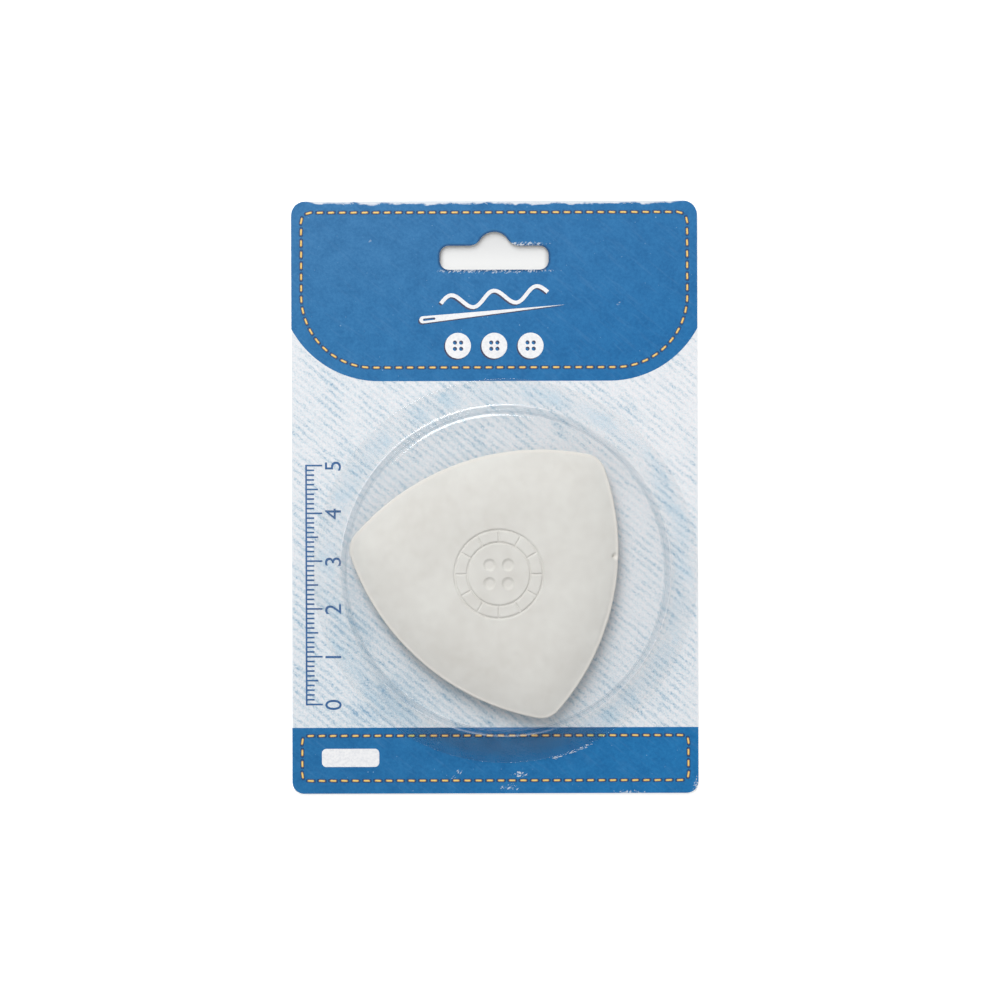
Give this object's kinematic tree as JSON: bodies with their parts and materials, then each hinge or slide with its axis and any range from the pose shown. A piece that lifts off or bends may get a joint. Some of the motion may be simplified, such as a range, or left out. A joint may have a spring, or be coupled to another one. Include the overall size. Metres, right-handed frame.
{
  "type": "tailor's chalk in a blister pack",
  "caption": "Loose rounded-triangle marking chalk under a clear round blister, heat-sealed to a printed hang card with a euro slot; for marking cloth.",
  "frame": {"origin": "centre of the hang card's back face, where the pack lies on a table", "axes": "+Y along the card towards the hang slot, +Z out of the printed front towards the bubble's crown, +X to the right as the front is read"},
  "size_m": [0.085, 0.124, 0.0087],
  "materials": {
    "board": "matte",
    "denim_ink": "satin",
    "header_ink": "satin",
    "footer_ink": "satin",
    "stitch_ink": "satin",
    "white_ink": "satin",
    "navy_ink": "satin",
    "seal_lacquer": "gloss",
    "clear_sheet": "gloss",
    "chalk": "matte"
  },
  "bodies": {
    "card": {"card_board": "board", "denim_print": "denim_ink", "header_print": "header_ink", "footer_print": "footer_ink", "header_stitches": "stitch_ink", "footer_stitches": "stitch_ink", "header_motif": "white_ink", "scale_print": "navy_ink", "patch_print": "white_ink", "seal_ring": "seal_lacquer"},
    "blister": {"blister": "clear_sheet"},
    "chalk": {"chalk": "chalk"}
  },
  "joints": [
    {"name": "blister_peel", "type": "hinge", "parent": "card", "child": "blister", "pos_m": [0.00222, -0.0556, 0.00105], "axis": [1, 0, 0], "range_deg": [0, 110]},
    {"name": "chalk_turn", "type": "hinge", "parent": "card", "child": "chalk", "pos_m": [0.00222, -0.01537, 0.004], "axis": [0, 0, 1], "continuous": true}
  ]
}
